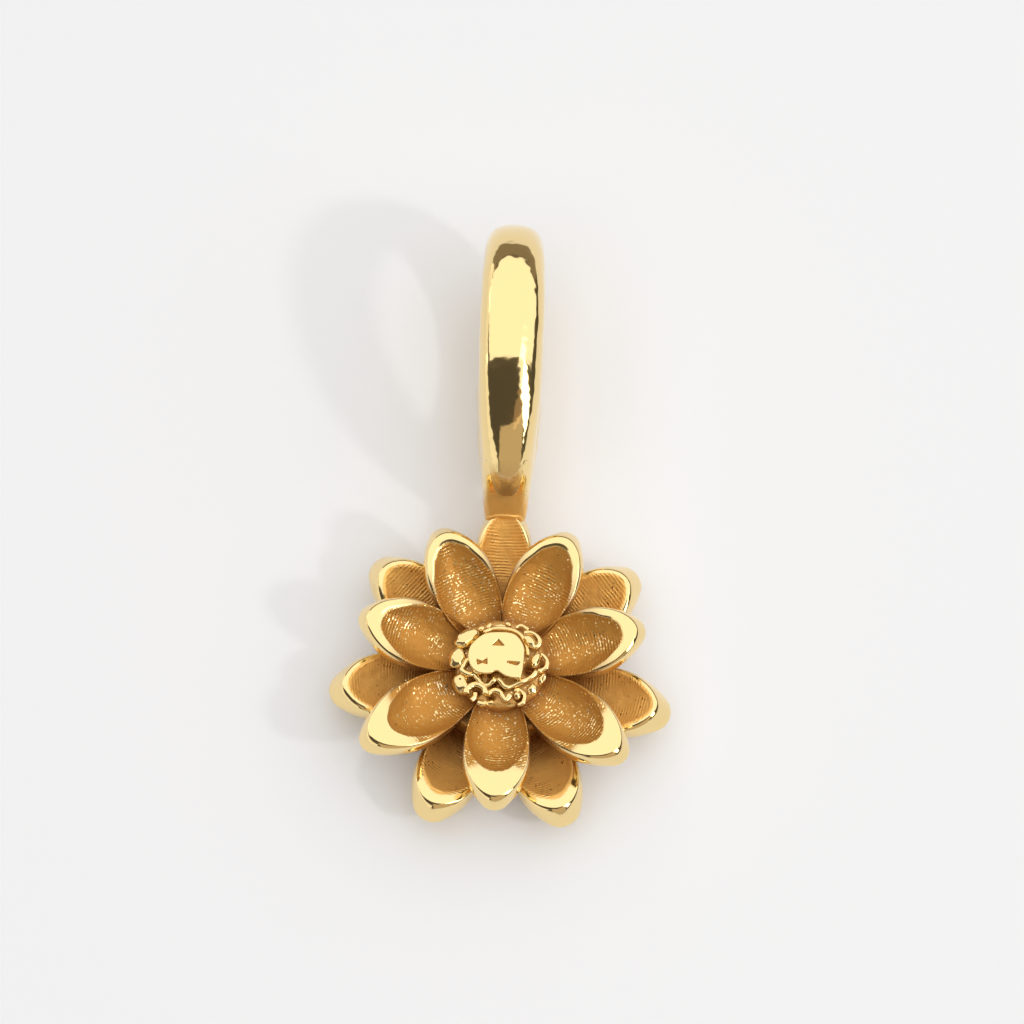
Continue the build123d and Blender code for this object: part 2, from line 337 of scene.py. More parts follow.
def add_petal(bm, row, petal, seed, settings):
    """Models one petal in its own mesh, roughens its skin, and adds it to the row's mesh."""
    form = PetalForm(row, petal)
    half_turn = PETAL_RINGS.around // 2
    turns = [pi * i / half_turn for i in range(half_turn + 1)]
    right = [petal_strip(form, turn, settings.rim_ease, settings.hollow_ease, petal) for turn in turns]
    left = [[(Vector((p.x, -p.y, p.z)), s) for p, s in strip] for strip in right[-2:0:-1]]
    own = bmesh.new()
    closed_skin(own, right + left)
    bmesh.ops.remove_doubles(own, verts=own.verts, dist=SAME_PLACE)
    bmesh.ops.recalc_face_normals(own, faces=own.faces)
    own.normal_update()
    satin = own.verts.layers.float["satin"]
    recess = own.verts.layers.float["recess"]
    shift = Vector((seed * NOISE_STEP[0], seed * NOISE_STEP[1], 0.0))
    moves = []
    for vert in own.verts:
        place = vert.co / MM
        hollow = vert[satin]
        root = 1 - ramp(vert.co.x / form.hull.widest - ROOT_END, ROOT_RUN)
        # How much shade is painted on the hull's sides near the root
        shade_share = 1 - ramp(vert.co.x / form.hull.widest - ROOT_END, ROOT_SHADE_RUN)
        swell = noise.noise(place * SWELL_WAVES + shift) * settings.swell
        swell *= POLISHED_SWELL + HOLLOW_SWELL * hollow
        grain = noise.noise(place * GRAIN_WAVES + shift)
        grain += FINE_GRAIN * noise.noise(place * FINE_GRAIN_WAVES + shift)
        moves.append(vert.normal * (swell + grain * settings.grain * max(hollow, root)))
        vert[satin] = max(hollow, root * ROOT_MATT)
        # Painted shade: dark in the hollow near the root and fading outwards, and on the hull's sides at the
        # root
        inside = ramp(row.recess - vert.co.x, PAINTED_SHADE_RUN * row.recess)
        vert[recess] = max(inside, shade_share * (1 - hollow) * UNDER_SHADE)
    for vert, move in zip(own.verts, moves):
        vert.co += move
    uv = own.loops.layers.uv.new("petal")
    for face in own.faces:
        for loop in face.loops:
            loop[uv].uv = (loop.vert.co.x / MM, loop.vert.co.y / MM)
    stand = Matrix.Translation((row.root_radius, 0.0, row.root_height)) @ Matrix.Rotation(-row.rise, 4, "Y")
    own.transform(Matrix.Rotation(radians(90 - petal.bearing), 4, "Z") @ stand)
    join(bm, own)


def finish_piece(name, bm, material):
    """Turns a mesh into a smooth piece of the casting that rides on it and stands for it."""
    mesh = bpy.data.meshes.new(name)
    bm.to_mesh(mesh)
    bm.free()
    mesh.shade_smooth()
    mesh.materials.append(material)
    piece = bpy.data.objects.new(name, mesh)
    bpy.context.scene.collection.objects.link(piece)
    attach(piece, BODY)
    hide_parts(NODE)
    return piece


def spun(bm, profile, steps):
    """Turns a profile of (radius, height) round +Z into a closed body."""
    verts = [bm.verts.new((r, 0.0, z)) for r, z in profile]
    edges = [bm.edges.new(pair) for pair in zip(verts, verts[1:])]
    bmesh.ops.spin(
        bm,
        geom=verts + edges,
        cent=(0, 0, 0),
        axis=(0, 0, 1),
        angle=2 * pi,
        steps=steps,
        use_merge=True,
        use_duplicate=False,
    )
    bmesh.ops.remove_doubles(bm, verts=bm.verts, dist=SAME_PLACE)
    bmesh.ops.recalc_face_normals(bm, faces=bm.faces)


COAT_IOR = 1.9
COAT_ROUGHNESS = 0.07
COAT_WEIGHT = 0.9
# The little that the grained metal shines beside what it scatters
SATIN_SHINE = 0.15
# The grain: its fineness, over how much of its height a glint begins, and how much a file line lifts it
SPECK_SCALE = 13.0 / MM
GLINT_RUN = 0.07
LINE_LIFT = 0.2
# The grain's share in the relief beside the file lines
SPECK_RELIEF = 0.55
# The file lines: the spacing of a Wave texture's rings at scale 1, how far they waver, and the patches that
# hold them
RING_SPACING = 0.314
LINE_WAVER, LINE_DETAIL, LINE_DETAIL_SCALE = 3.0, 2.0, 0.6
PATCH_SCALE = 1.1 / MM
PATCH_START, PATCH_FULL = 0.4, 0.62


def add_node(tree, kind, inputs, **settings):
    """A node with its settings, and each given input set to a value or linked to another node's output."""
    node = tree.nodes.new(kind)
    for name, value in settings.items():
        setattr(node, name, value)
    for key, value in inputs.items():
        if isinstance(value, bpy.types.NodeSocket):
            tree.links.new(value, node.inputs[key])
        else:
            node.inputs[key].default_value = value
    return node


def gold_material(name, settings, satin_colour, glint_start):
    """Yellow gold that is polished where the attribute satin is 0 and finely grained where it is 1, with shade
    painted in where a second attribute says so.
    """
    material = bpy.data.materials.get(name)
    if material:
        return material
    material = bpy.data.materials.new(name)
    material.use_nodes = True
    tree = material.node_tree
    shader = tree.nodes["Principled BSDF"]
    shader.inputs["Coat IOR"].default_value = COAT_IOR
    shader.inputs["Coat Roughness"].default_value = COAT_ROUGHNESS
    shader.inputs["Specular IOR Level"].default_value = SATIN_SHINE
    mask = add_node(tree, "ShaderNodeAttribute", {}, attribute_name="satin").outputs["Fac"]
    # Share of shade painted at the petals' roots and between them
    shade_share = add_node(tree, "ShaderNodeAttribute", {}, attribute_name="recess").outputs["Fac"]
    place = add_node(tree, "ShaderNodeTexCoord", {}).outputs["Object"]
    petal = add_node(tree, "ShaderNodeUVMap", {}, uv_map="petal").outputs["UV"]

    grain = {"Vector": place, "Scale": SPECK_SCALE, "Detail": 1.0}
    specks = add_node(tree, "ShaderNodeTexNoise", grain).outputs["Fac"]
    rings = {
        "Vector": petal,
        "Scale": RING_SPACING / settings.file_spacing * MM,
        "Distortion": LINE_WAVER,
        "Detail": LINE_DETAIL,
        "Detail Scale": LINE_DETAIL_SCALE,
    }
    lines = add_node(tree, "ShaderNodeTexWave", rings, wave_type="RINGS", rings_direction="SPHERICAL")
    patches = add_node(tree, "ShaderNodeTexNoise", {"Vector": place, "Scale": PATCH_SCALE}).outputs["Fac"]
    filed = {"Value": patches, "From Min": PATCH_START, "From Max": PATCH_FULL}
    filed = add_node(tree, "ShaderNodeMapRange", filed).outputs["Result"]
    lines = add_node(tree, "ShaderNodeMath", {0: lines.outputs["Fac"], 1: filed}, operation="MULTIPLY")
    lines = lines.outputs["Value"]

    tops = add_node(tree, "ShaderNodeMath", {0: lines, 1: LINE_LIFT, 2: specks}, operation="MULTIPLY_ADD")
    glints = {"Value": tops.outputs["Value"], "From Min": glint_start, "From Max": glint_start + GLINT_RUN}
    dull = add_node(tree, "ShaderNodeMapRange", glints | {"To Min": 1.0, "To Max": 0.0}).outputs["Result"]
    matt = add_node(tree, "ShaderNodeMath", {0: mask, 1: dull}, operation="MULTIPLY").outputs["Value"]
    for socket, polished, drop in (
        ("Metallic", 1.0, settings.scatter),
        ("Coat Weight", COAT_WEIGHT, COAT_WEIGHT),
        ("Roughness", settings.polished_roughness, settings.polished_roughness - settings.satin_roughness),
    ):
        share = add_node(tree, "ShaderNodeMath", {0: matt, 1: -drop, 2: polished}, operation="MULTIPLY_ADD")
        tree.links.new(share.outputs["Value"], shader.inputs[socket])

    finishes = {"Factor": matt, "A": (*settings.colour, 1.0), "B": (*satin_colour, 1.0)}
    colour = add_node(tree, "ShaderNodeMix", finishes, data_type="RGBA").outputs["Result"]
    # Paints shade in: the colour goes towards a dark brown where that share is high
    painted_shade_mix = {"Factor": shade_share, "A": colour, "B": (*settings.painted_shade_colour, 1.0)}
    colour = add_node(tree, "ShaderNodeMix", painted_shade_mix, data_type="RGBA").outputs["Result"]
    tree.links.new(colour, shader.inputs["Base Color"])

    heights = {0: specks, 1: SPECK_RELIEF, 2: lines}
    heights = add_node(tree, "ShaderNodeMath", heights, operation="MULTIPLY_ADD")
    relief = {"Distance": settings.file_depth, "Strength": mask, "Height": heights.outputs["Value"]}
    bump = add_node(tree, "ShaderNodeBump", relief)
    tree.links.new(bump.outputs["Normal"], shader.inputs["Normal"])
    return material


class GoldSettings(bpy.types.PropertyGroup):
    """The metal's colour and finish, and the colours that paint light and shade on it."""

    colour: bpy.props.FloatVectorProperty(
        name="Gold colour",
        description="Colour of the metal seen straight on",
        subtype="COLOR",
        size=3, min=0.0, max=1.0,
        default=(0.91, 0.67, 0.26),
    )
    satin_colour: bpy.props.FloatVectorProperty(
        name="Satin colour",
        description="Deeper colour of the grained metal, where light bounces more than once",
        subtype="COLOR",
        size=3, min=0.0, max=1.0,
        default=(0.53, 0.245, 0.045),
    )
    # Painted light: a lighter copy of the satin colour for the lower petals and the neck, which lie more in
    # shade
    painted_light_satin_colour: bpy.props.FloatVectorProperty(
        name="Lower satin colour",
        description="Lighter copy of the satin colour for the lower petals and the neck, painting light on them",
        subtype="COLOR",
        size=3, min=0.0, max=1.0,
        default=(1.0, 0.57, 0.155),
    )
    # Painted shade: the dark brown painted into the hollows near the root and on the hulls' sides at the root
    painted_shade_colour: bpy.props.FloatVectorProperty(
        name="Painted shade colour",
        description="Colour of the shade painted deep between the petals and on the hulls at their roots",
        subtype="COLOR",
        size=3, min=0.0, max=1.0,
        default=(0.26, 0.1, 0.018),
    )
    glint_start: bpy.props.FloatProperty(
        name="Glint start",
        description="From which height of the grain up its tops are rubbed bright",
        min=0.0, max=1.0, default=0.66,
    )
    low_glint_start: bpy.props.FloatProperty(
        name="Lower glint start",
        description="The same for the lower petals, which are rubbed less",
        min=0.0, max=1.0, default=0.72,
    )
    scatter: bpy.props.FloatProperty(
        name="Scatter",
        description="Share of the light that the grained metal scatters all round",
        min=0.0, max=1.0, default=0.7,
    )
    polished_roughness: bpy.props.FloatProperty(
        name="Polished roughness",
        description="Roughness of the rims, the cap and the bail",
        min=0.0, max=1.0, default=0.1,
    )
    satin_roughness: bpy.props.FloatProperty(
        name="Satin roughness",
        description="Roughness inside the petals",
        min=0.0, max=1.0, default=0.46,
    )
    file_spacing: bpy.props.FloatProperty(
        name="File line spacing",
        description="Distance between the fine curved lines inside the petals",
        unit="LENGTH", default=0.086 * MM,
    )
    file_depth: bpy.props.FloatProperty(
        name="File line depth",
        description="Depth of the fine lines and the grain inside the petals",
        unit="LENGTH", default=0.014 * MM,
    )


class PetalSettings(bpy.types.PropertyGroup):
    """What both rows of petals share."""

    rim_ease: bpy.props.FloatProperty(
        name="Rim rounding",
        description="How far the outer edge of a rim is rounded",
        unit="LENGTH", default=0.09 * MM,
    )
    hollow_ease: bpy.props.FloatProperty(
        name="Hollow rounding",
        description="How far the edge of a hollow is rounded",
        unit="LENGTH", default=0.035 * MM,
    )
    swell: bpy.props.FloatProperty(
        name="Unevenness",
        description="How far the hand-finished surfaces swell in and out",
        unit="LENGTH", default=0.035 * MM,
    )
    grain: bpy.props.FloatProperty(
        name="Grain",
        description="How far the coarse grain of the hollows stands up",
        unit="LENGTH", default=0.012 * MM,
    )


# A row of petals. The widest place and the hollow's setback behind it are shares of the reach. The nose's
# radius, the rim's height at the widest place and the height of the hollow's axis over the rim are shares of
# the half width. The rim climbs outwards at an angle of its own, over the slope of the body's axis. Shade is
# painted in the hollows from the root out to the last field's distance.
PetalRow = namedtuple(
    "PetalRow",
    "petals reach width rise root_radius root_height widest nose rim rim_rise hollow_lift hollow_setback lip "
    "backset thinnest_lip recess",
)
LOWER = PetalRow(
    petals=LOWER_PETALS,
    reach=5.2 * MM,
    width=2.04 * MM,
    rise=0.0,
    root_radius=0.25 * MM,
    root_height=1.06 * MM,
    widest=0.62,
    nose=0.62,
    rim=0.3,
    rim_rise=radians(15.0),
    hollow_lift=0.5,
    hollow_setback=0.1,
    lip=0.08 * MM,
    backset=0.5 * MM,
    thinnest_lip=0.045 * MM,
    recess=3.0 * MM,
)
UPPER = LOWER._replace(
    petals=UPPER_PETALS,
    reach=4.55 * MM,
    rise=radians(3.0),
    root_height=2.06 * MM,
    widest=0.57,
    nose=0.5,
    rim_rise=radians(7.0),
    hollow_setback=0.12,
    recess=1.55 * MM,
)


# The first seed of each row's noise
UPPER_SEED, LOWER_SEED = 1, 11


def make_row(name, row, first_seed, scene, material):
    """Models a whole row of petals as one piece."""
    bm = bmesh.new()
    for i, petal in enumerate(row.petals):
        add_petal(bm, row, petal, first_seed + i, scene.charm_petals)
    return finish_piece(name, bm, material)


class CHARM_OT_upper_petals(bpy.types.Operator):
    """Models the seven upper petals."""

    bl_idname = "charm.upper_petals"
    bl_label = "Upper petals"

    def execute(self, context):
        gold = context.scene.charm_gold
        material = gold_material("cast_gold", gold, gold.satin_colour, gold.glint_start)
        make_row("upper_petals", UPPER, UPPER_SEED, context.scene, material)
        return {"FINISHED"}


class CHARM_OT_lower_petals(bpy.types.Operator):
    """Models the seven lower petals."""

    bl_idname = "charm.lower_petals"
    bl_label = "Lower petals"

    def execute(self, context):
        gold = context.scene.charm_gold
        # The lower row takes the lighter satin copy, which paints light on its shaded hollows
        material = gold_material("cast_gold_painted_light", gold, gold.painted_light_satin_colour, gold.low_glint_start)
        make_row("lower_petals", LOWER, LOWER_SEED, context.scene, material)
        return {"FINISHED"}


class SeedHeadSettings(bpy.types.PropertyGroup):
    """Sizes of the seed head and of the core under it."""

    core_radius: bpy.props.FloatProperty(
        name="Core radius",
        description="Radius of the flat back",
        unit="LENGTH", default=2.0 * MM,
    )
    drum_radius: bpy.props.FloatProperty(
        name="Drum radius",
        description="Radius of the seed head's wall",
        unit="LENGTH", default=1.38 * MM,
    )
    drum_top: bpy.props.FloatProperty(
        name="Drum top",
        description="Height of the drum's top",
        unit="LENGTH", default=2.25 * MM,
    )
    cap_top: bpy.props.FloatProperty(
        name="Cap top",
        description="Height of the polished cap's top",
        unit="LENGTH", default=2.8 * MM,
    )


def rounded_profile(corners, ease, count=5):
    """A profile of (radius, height) with its inner corners rounded."""
    points = [Vector(c) for c in corners]
    made = [points[0]]
    for before, corner, after in zip(points, points[1:], points[2:]):
        near = min(ease, (before - corner).length / 2)
        far = min(ease, (after - corner).length / 2)
        start = corner + (before - corner).normalized() * near
        end = corner + (after - corner).normalized() * far
        made.append(start)
        made += eased(start, corner, end, count)
    made.append(points[-1])
    return [tuple(p) for p in made]


# The polished cap's outline, anticlockwise from its right side, and the marks sunk in its top, in mm
CAP_OUTLINE = (
    (0.71, 0.09), (0.7, 0.38), (0.55, 0.66), (0.34, 0.81), (-0.04, 0.84), (-0.44, 0.79), (-0.69, 0.63),
    (-0.9, 0.38), (-0.96, 0.11), (-0.93, -0.1), (-0.84, -0.3), (-0.68, -0.43), (-0.48, -0.47), (-0.28, -0.46),
    (-0.18, -0.4), (-0.06, -0.38), (0.04, -0.44), (0.18, -0.52), (0.38, -0.57), (0.61, -0.56), (0.67, -0.39),
    (0.7, -0.12),
)
CAP_MIDDLE = (-0.1, 0.15)
CAP_MARKS = (
    ((-0.26, 0.41), (0.11, 0.41), (-0.08, 0.6)),
    ((-0.71, -0.04), (-0.67, -0.2), (-0.5, -0.12)),
    ((-0.58, -0.13), (-0.38, -0.18), (-0.39, 0.0)),
    ((0.19, -0.11), (0.5, -0.18), (0.6, -0.09), (0.24, -0.07)),
)
# A mark's depth, the width of its sloping edge, how much of that lies outside its corners, and how satin it
# is over its depth as a share
MARK_DEPTH = 0.08
MARK_EDGE = 0.03
MARK_OUTSIDE = 0.35
MARK_SATIN = 1.6
# The cap from the middle of its top: where along it its edge begins and ends, how far the edge is rounded,
# how much lower the top is there than in the middle, and how deep the side goes, in mm
EDGE_START, EDGE_END = 0.8, 0.94
CAP_EASE = 0.04
CAP_CROWN = 0.03
CAP_SIDE = 0.55
CAP_GRID = (216, 72)
# No mark reaches further than this below the cap's top, in mm
MARKED_WITHIN = 0.2

# Cast beads round the cap: place in plan and height of the middle, half length and half width, all in mm, the
# turn of its length from +X, how far it leans outwards, and the depth of its dimple
Bead = namedtuple("Bead", "x y z long wide turn lean dimple")
BEADS = (
    Bead(x=-1.02, y=0.68, z=2.44, long=0.42, wide=0.25, turn=36, lean=6, dimple=0.04),
    Bead(x=-1.27, y=0.06, z=2.42, long=0.34, wide=0.26, turn=80, lean=8, dimple=0.07),
    Bead(x=-1.15, y=-0.7, z=2.34, long=0.31, wide=0.25, turn=110, lean=14, dimple=0.07),
    Bead(x=1.06, y=0.1, z=2.46, long=0.27, wide=0.15, turn=68, lean=2, dimple=0.0),
    Bead(x=0.86, y=0.66, z=2.46, long=0.26, wide=0.16, turn=-48, lean=2, dimple=0.0),
    Bead(x=1.0, y=-0.8, z=2.36, long=0.2, wide=0.16, turn=80, lean=20, dimple=0.0),
    Bead(x=0.54, y=-1.0, z=2.36, long=0.13, wide=0.11, turn=100, lean=16, dimple=0.0),
    Bead(x=-0.03, y=1.12, z=2.38, long=0.17, wide=0.07, turn=0, lean=-8, dimple=0.0),
    Bead(x=0.2, y=1.2, z=2.3, long=0.11, wide=0.08, turn=-30, lean=10, dimple=0.0),
    Bead(x=-0.36, y=1.13, z=2.32, long=0.13, wide=0.08, turn=60, lean=10, dimple=0.0),
    Bead(x=-0.6, y=1.03, z=2.32, long=0.13, wide=0.09, turn=30, lean=12, dimple=0.0),
    Bead(x=1.27, y=-0.42, z=2.22, long=0.2, wide=0.12, turn=70, lean=30, dimple=0.05),
    Bead(x=0.35, y=-1.2, z=2.12, long=0.26, wide=0.13, turn=10, lean=30, dimple=0.0),
    Bead(x=-0.22, y=-1.22, z=2.14, long=0.26, wide=0.12, turn=-4, lean=30, dimple=0.0),
)

# Raised cast lines, each through a few places in plan, with its height and half thickness, all in mm
Curl = namedtuple("Curl", "places z thick")
CURLS = (
    Curl(places=((-0.9, 0.12), (-1.04, -0.08), (-1.13, -0.3), (-0.92, -0.42), (-0.77, -0.42), (-0.63, -0.57),
                 (-0.5, -0.73), (-0.33, -0.73), (-0.2, -0.62), (-0.09, -0.48)), z=2.42, thick=0.07),
    Curl(places=((-0.07, -0.48), (0.04, -0.62), (0.18, -0.76), (0.34, -0.75), (0.62, -0.62), (0.86, -0.5),
                 (1.0, -0.39), (1.12, -0.22)), z=2.42, thick=0.07),
    Curl(places=((-0.55, 0.86), (-0.3, 1.0), (0.02, 1.03), (0.35, 0.98), (0.6, 0.83), (0.76, 0.55),
                 (0.83, 0.2)), z=2.4, thick=0.06),
    Curl(places=((0.66, 0.9), (0.88, 0.93), (1.1, 0.81), (1.16, 0.6), (0.98, 0.42)), z=2.42, thick=0.06),
    Curl(places=((1.12, 0.3), (1.3, 0.22), (1.4, 0.05), (1.36, -0.14), (1.12, -0.25)), z=2.38, thick=0.065),
    Curl(places=((-0.97, -1.05), (-0.96, -0.9), (-0.84, -0.77), (-0.68, -0.72), (-0.52, -0.78), (-0.42, -0.9),
                 (-0.39, -1.06)), z=2.4, thick=0.085),
    Curl(places=((-0.71, -0.95), (-0.72, -1.08), (-0.83, -1.2)), z=2.3, thick=0.075),
    Curl(places=((-0.34, -1.05), (-0.27, -0.94), (-0.1, -0.88), (0.03, -0.94), (0.12, -1.07), (0.2, -1.17),
                 (0.28, -1.09), (0.34, -0.95)), z=2.36, thick=0.075),
    Curl(places=((0.42, -0.86), (0.6, -0.83), (0.76, -0.97), (0.73, -1.2), (0.55, -1.3)), z=2.3, thick=0.06),
    Curl(places=((-0.64, -1.22), (-0.48, -1.27), (-0.36, -1.22)), z=2.22, thick=0.08),
    Curl(places=((0.42, 1.08), (0.6, 1.15), (0.82, 1.02)), z=2.38, thick=0.06),
)

# A curl's girth and height over its half thickness, its section's squareness, its tapered ends, how far its
# thickness and its height vary, with the waves a mm of each and how far one curl's noise lies from the
# next one's, and the step to either side of a place that gives the curl's direction there
CURL_GIRTH = 1.12
CURL_HEIGHT = 1.3
CURL_SQUARENESS = 3.0
CURL_TAPER = 0.08
CURL_THICKENING, THICKENING_WAVES, THICKENING_STEP = 0.25, 5.0, 2.3
CURL_CLIMB, CLIMB_WAVES, CLIMB_STEP = 0.03, 3.0, 1.9
CURL_STEP = 0.01
CURL_AROUND, CURL_ALONG = 20, 10
CURL_SATIN = 0.06

# A bead's flattened shape, its dimple's place and spread as shares of its size, and its lumps
BEAD_GRID = (28, 18)
BEAD_FLATNESS = 0.6
BEAD_HEIGHT = 0.75
BEAD_PEAK = 0.38
DIMPLE_X, DIMPLE_Y, DIMPLE_SPREAD = 0.15, -0.1, 0.12
BEAD_LUMPS, BEAD_LUMP_WAVES = 0.16, 6.0
BEAD_STEP = 3.7
BEAD_SATIN = 0.1

# Dark pits between the curls: place and radius in mm
PITS = (
    (-0.66, -0.9, 0.12), (-0.24, -1.04, 0.11), (0.62, -1.02, 0.13), (1.24, 0.02, 0.13), (1.04, 0.56, 0.08),
    (0.9, -0.15, 0.2), (-0.2, -0.6, 0.14), (0.05, -0.8, 0.1), (-0.72, -0.6, 0.16), (-0.66, 0.84, 0.08),
)
PIT_DEPTH = 0.4 * MM
PIT_SPREAD = 0.6
# The drum: where its wall stands on the core, its rounding, its steps round, the rings of its top, the
# height in mm from which up its skin is pitted, its unevenness and how satin it is
DRUM_FOOT = 1.5 * MM
DRUM_EASE = 0.25 * MM
DRUM_STEPS = 144
DRUM_RINGS = 40
PITTED_FROM = 2.0
DRUM_UNEVENNESS, DRUM_WAVES = 0.02 * MM, 3.5
DRUM_SATIN = 0.8


def set_satin(bm, value):
    """Gives a whole mesh one finish."""
    satin = bm.verts.layers.float.get("satin") or bm.verts.layers.float.new("satin")
    for vert in bm.verts:
        vert[satin] = value


def join(bm, part):
    """Adds one mesh to another and frees it."""
    mesh = bpy.data.meshes.new("part")
    part.to_mesh(mesh)
    part.free()
    bm.from_mesh(mesh)
    bpy.data.meshes.remove(mesh)


def laid_grid(around, along, point, satin):
    """A closed skin whose points come from the shares round it and along it."""
    bm = bmesh.new()
    bm.verts.layers.float.new("satin")
    bmesh.ops.create_grid(bm, x_segments=around, y_segments=along, size=1.0)
    for vert in bm.verts:
        vert.co = point((vert.co.x + 1) / 2, (vert.co.y + 1) / 2)
    bmesh.ops.remove_doubles(bm, verts=bm.verts, dist=SAME_PLACE)
    bmesh.ops.recalc_face_normals(bm, faces=bm.faces)
    set_satin(bm, satin)
    return bm


def curve_point(places, share, closed=False):
    """A point of the smooth curve through some places."""
    count = len(places)
    at = share * (count if closed else count - 1)
    first = min(int(at), count - 1 if closed else count - 2)
    t = at - first

    def place(i):
        return places[i % count] if closed else places[min(max(i, 0), count - 1)]

    a, b, c, d = (place(first + i) for i in (-1, 0, 1, 2))
    weights = (-t + 2 * t**2 - t**3, 2 - 5 * t**2 + 3 * t**3, t + 4 * t**2 - 3 * t**3, t**3 - t**2)
    return tuple(sum(w * p[axis] for w, p in zip(weights, (a, b, c, d))) / 2 for axis in (0, 1))


def add_bead(bm, bead, seed):
    """One cast bead: a flattened lump with a dimple, uneven from the casting."""

    def point(around, along):
        turn = 2 * pi * around
        rise = -pi / 2 + pi * along
        flat = abs(cos(rise)) ** BEAD_FLATNESS
        x = bead.long * flat * cos(turn)
        y = bead.wide * flat * sin(turn)
        z = BEAD_HEIGHT * bead.wide * ((1 - BEAD_PEAK) * sin(rise) + BEAD_PEAK * sin(rise) ** 3)
        dent = ((x / bead.long - DIMPLE_X) ** 2 + (y / bead.wide - DIMPLE_Y) ** 2) / DIMPLE_SPREAD
        z -= bead.dimple * exp(-dent) if rise > 0 else 0.0
        place = Vector((x, y, z))
        lumps = noise.noise(place * BEAD_LUMP_WAVES + Vector((seed * BEAD_STEP, 0.0, 0.0)))
        return place * (1 + BEAD_LUMPS * lumps) * MM

    lump = laid_grid(*BEAD_GRID, point, BEAD_SATIN)
    out = atan2(bead.y, bead.x)
    lean = Matrix.Rotation(out, 4, "Z") @ Matrix.Rotation(radians(bead.lean), 4, "Y")
    lean = lean @ Matrix.Rotation(-out, 4, "Z")
    stand = Matrix.Translation((bead.x * MM, bead.y * MM, bead.z * MM))
    lump.transform(stand @ lean @ Matrix.Rotation(radians(bead.turn), 4, "Z"))
    join(bm, lump)


def add_curl(bm, curl, seed):
    """One raised cast line, round in section and thin at its ends."""

    def point(around, along):
        x, y = curve_point(curl.places, along)
        ahead = Vector(curve_point(curl.places, min(along + CURL_STEP, 1.0)))
        side = (ahead - Vector(curve_point(curl.places, max(along - CURL_STEP, 0.0)))).normalized()
        spin = 2 * pi * around
        end = ramp(min(along, 1 - along), CURL_TAPER)
        thick = curl.thick * sqrt(max(1 - (1 - end) ** 2, 0.0))
        thick *= 1 + CURL_THICKENING * noise.noise(Vector((x, y, seed * THICKENING_STEP)) * THICKENING_WAVES)
        thick *= CURL_GIRTH * squared(spin, CURL_SQUARENESS)
        climb = CURL_CLIMB * noise.noise(Vector((x, y, seed * CLIMB_STEP)) * CLIMB_WAVES)
        z = curl.z + climb + CURL_HEIGHT * thick * sin(spin)
        return Vector((x + side.y * thick * cos(spin), y - side.x * thick * cos(spin), z)) * MM

    join(bm, laid_grid(CURL_AROUND, CURL_ALONG * len(curl.places), point, CURL_SATIN))


def squared(spin, power):
    """How much further out a squarish section is than a round one, at an angle round it."""
    return (abs(cos(spin)) ** power + abs(sin(spin)) ** power) ** (-1 / power)


def mark_depth(x, y):
    """How deep the cap's marks are at a place, in mm."""
    deepest = 0.0
    for corners in CAP_MARKS:
        inside = 1.0
        for (ax, ay), (bx, by) in zip(corners, corners[1:] + corners[:1]):
            inside = min(inside, ((bx - ax) * (y - ay) - (by - ay) * (x - ax)) / hypot(bx - ax, by - ay))
        share = ramp(inside / MARK_EDGE + MARK_OUTSIDE, 1.0)
        deepest = max(deepest, MARK_DEPTH * share * share * (3 - 2 * share))
    return deepest


def cap_point(top, around, along):
    """A point of the cap, from the middle of its top at 0 along it over its edge to its foot at 1."""
    edge_x, edge_y = curve_point(CAP_OUTLINE, around, closed=True)
    middle = Vector(CAP_MIDDLE)
    reach = Vector((edge_x, edge_y)) - middle
    edge = CAP_EASE / reach.length
    if along < EDGE_START:
        share = along / EDGE_START * (1 - edge)
        x, y = middle + reach * share
        return x, y, top - CAP_CROWN * share**2 - mark_depth(x, y)
    turn = min((along - EDGE_START) / (EDGE_END - EDGE_START), 1.0) * pi / 2
    x, y = middle + reach * (1 - edge * (1 - sin(turn)))
    drop = max(along - EDGE_END, 0.0) / (1 - EDGE_END) * CAP_SIDE
    return x, y, top - CAP_CROWN * (1 - edge) ** 2 - CAP_EASE * (1 - cos(turn)) - drop


